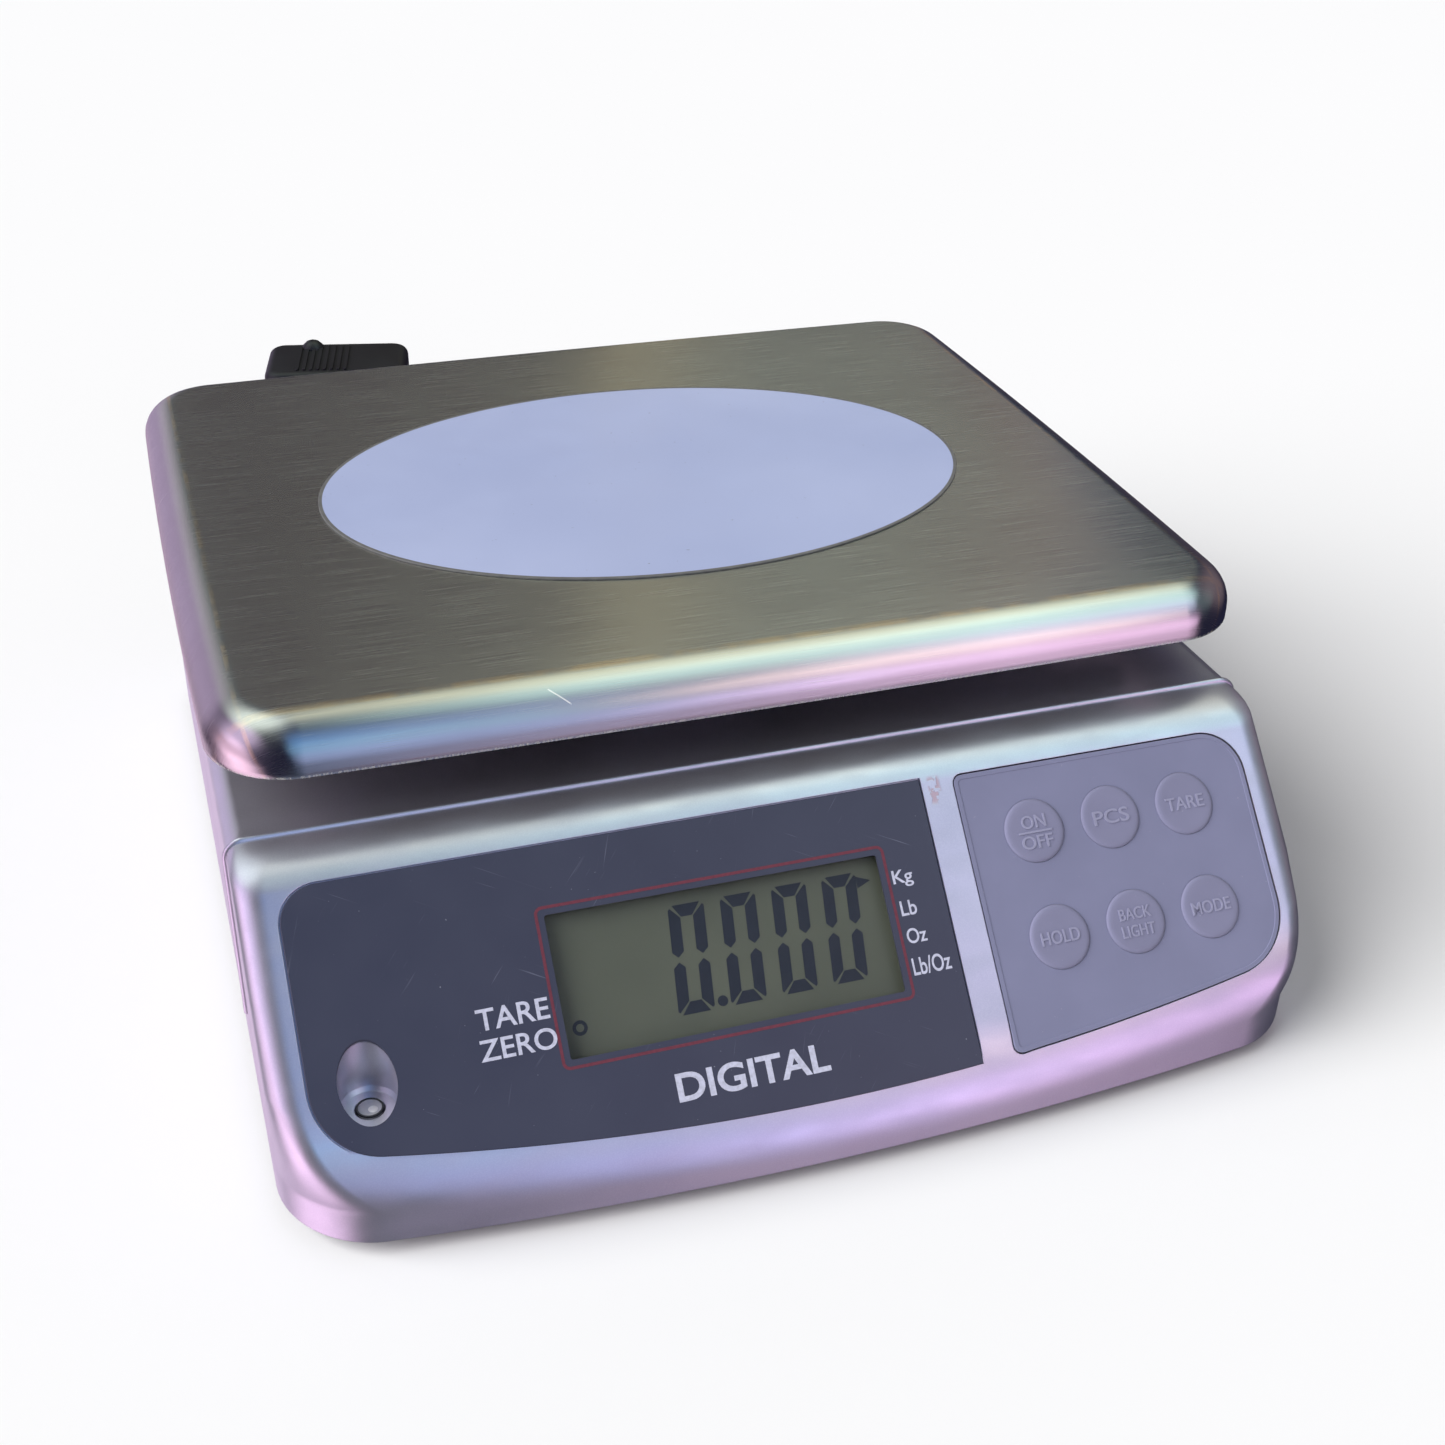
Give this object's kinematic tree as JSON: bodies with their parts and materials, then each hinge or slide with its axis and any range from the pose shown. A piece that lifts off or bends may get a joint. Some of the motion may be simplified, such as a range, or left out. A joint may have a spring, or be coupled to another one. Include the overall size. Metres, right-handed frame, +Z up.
{
  "type": "digital bench scale",
  "caption": "Compact digital bench scale with a stainless pan on a load cell, sloping display, soft key panel, spirit level and mains adapter.",
  "frame": {"origin": "on the table, under the middle of the scale's footprint without its adapter and lead", "axes": "+X to the user's right, +Y from the display towards the back, +Z up"},
  "size_m": [0.24, 0.4759, 0.0957],
  "materials": {
    "steel": "brushed",
    "silver_paint": "metallic paint",
    "label": "satin film",
    "film": "satin printed film",
    "keypad": "matt silicone",
    "clear": "clear",
    "liquid_crystal": "reflective liquid crystal",
    "board": "solder mask",
    "white_plastic": "moulded",
    "grey_plastic": "moulded, fine texture",
    "black_plastic": "moulded, fine texture",
    "rubber": "matt",
    "aluminium": "cast",
    "zinc": "zinc plated",
    "level_fluid": "clear vial",
    "cell_sleeve": "sleeve"
  },
  "bodies": {
    "case": {"load_cell": "aluminium", "cell_screw_1": "zinc", "cell_screw_2": "zinc", "overload_stop": "zinc", "upper_case": "silver_paint", "lower_case": "grey_plastic", "display_overlay": "film", "lcd_lens": "clear", "lcd_panel": "liquid_crystal", "lcd_backlight": "white_plastic", "display_board": "board", "keypad_mat": "keypad", "keypad_board": "board", "level_housing": "silver_paint", "level_vial": "level_fluid", "main_board": "board", "battery_tray": "black_plastic", "battery_cell_1": "cell_sleeve", "battery_cell_2": "cell_sleeve", "battery_cell_3": "cell_sleeve", "battery_cell_4": "cell_sleeve", "dc_jack": "black_plastic", "dc_plug": "black_plastic", "plug_lead": "rubber", "lead_coil": "rubber", "adapter_lead": "rubber", "adapter_relief": "black_plastic", "adapter_body": "black_plastic", "adapter_blade_1": "zinc", "adapter_blade_2": "zinc", "case_screw_1": "zinc", "case_screw_2": "zinc", "case_screw_3": "zinc", "case_screw_4": "zinc"},
    "platform": {"pan_support": "aluminium", "support_spacer": "aluminium", "support_screw_1": "zinc", "support_screw_2": "zinc", "pan_pad_1": "rubber", "pan_pad_2": "rubber", "pan_pad_3": "rubber", "pan_pad_4": "rubber"},
    "pan": {"weighing_pan": "steel", "oval_label": "label"},
    "battery_cover": {"battery_door": "grey_plastic"},
    "key_on_off": {"button_on_off": "keypad"},
    "key_pieces": {"button_pieces": "keypad"},
    "key_tare": {"button_tare": "keypad"},
    "key_hold": {"button_hold": "keypad"},
    "key_backlight": {"button_backlight": "keypad"},
    "key_mode": {"button_mode": "keypad"},
    "foot_1": {"foot_pad_1": "rubber", "foot_screw_1": "zinc"},
    "foot_2": {"foot_pad_2": "rubber", "foot_screw_2": "zinc"},
    "foot_3": {"foot_pad_3": "rubber", "foot_screw_3": "zinc"},
    "foot_4": {"foot_pad_4": "rubber", "foot_screw_4": "zinc"}
  },
  "joints": [
    {"name": "load_cell_flex", "type": "slide", "parent": "case", "child": "platform", "axis": [0, 0, 1], "range_m": [-0.00025, 0], "stiffness_N_per_m": 40000, "springref_m": 0.0004},
    {"name": "pan_lift", "type": "slide", "parent": "platform", "child": "pan", "axis": [0, 0, 1], "range_m": [0, 0.06]},
    {"name": "battery_cover_slide", "type": "slide", "parent": "case", "child": "battery_cover", "axis": [0, 1, 0], "range_m": [0, 0.03]},
    {"name": "key_on_off_press", "type": "slide", "parent": "case", "child": "key_on_off", "axis": [0, 0.723, -0.6909], "range_m": [0, 0.0005], "stiffness_N_per_m": 800},
    {"name": "key_pieces_press", "type": "slide", "parent": "case", "child": "key_pieces", "axis": [0, 0.723, -0.6909], "range_m": [0, 0.0005], "stiffness_N_per_m": 800},
    {"name": "key_tare_press", "type": "slide", "parent": "case", "child": "key_tare", "axis": [0, 0.723, -0.6909], "range_m": [0, 0.0005], "stiffness_N_per_m": 800},
    {"name": "key_hold_press", "type": "slide", "parent": "case", "child": "key_hold", "axis": [0, 0.723, -0.6909], "range_m": [0, 0.0005], "stiffness_N_per_m": 800},
    {"name": "key_backlight_press", "type": "slide", "parent": "case", "child": "key_backlight", "axis": [0, 0.723, -0.6909], "range_m": [0, 0.0005], "stiffness_N_per_m": 800},
    {"name": "key_mode_press", "type": "slide", "parent": "case", "child": "key_mode", "axis": [0, 0.723, -0.6909], "range_m": [0, 0.0005], "stiffness_N_per_m": 800},
    {"name": "foot_1_turn", "type": "hinge", "parent": "case", "child": "foot_1", "pos_m": [-0.097, -0.088, 0], "axis": [0, 0, 1], "range_deg": [-720, 720]},
    {"name": "foot_2_turn", "type": "hinge", "parent": "case", "child": "foot_2", "pos_m": [0.097, -0.088, 0], "axis": [0, 0, 1], "range_deg": [-720, 720]},
    {"name": "foot_3_turn", "type": "hinge", "parent": "case", "child": "foot_3", "pos_m": [-0.097, 0.105, 0], "axis": [0, 0, 1], "range_deg": [-720, 720]},
    {"name": "foot_4_turn", "type": "hinge", "parent": "case", "child": "foot_4", "pos_m": [0.097, 0.105, 0], "axis": [0, 0, 1], "range_deg": [-720, 720]}
  ]
}
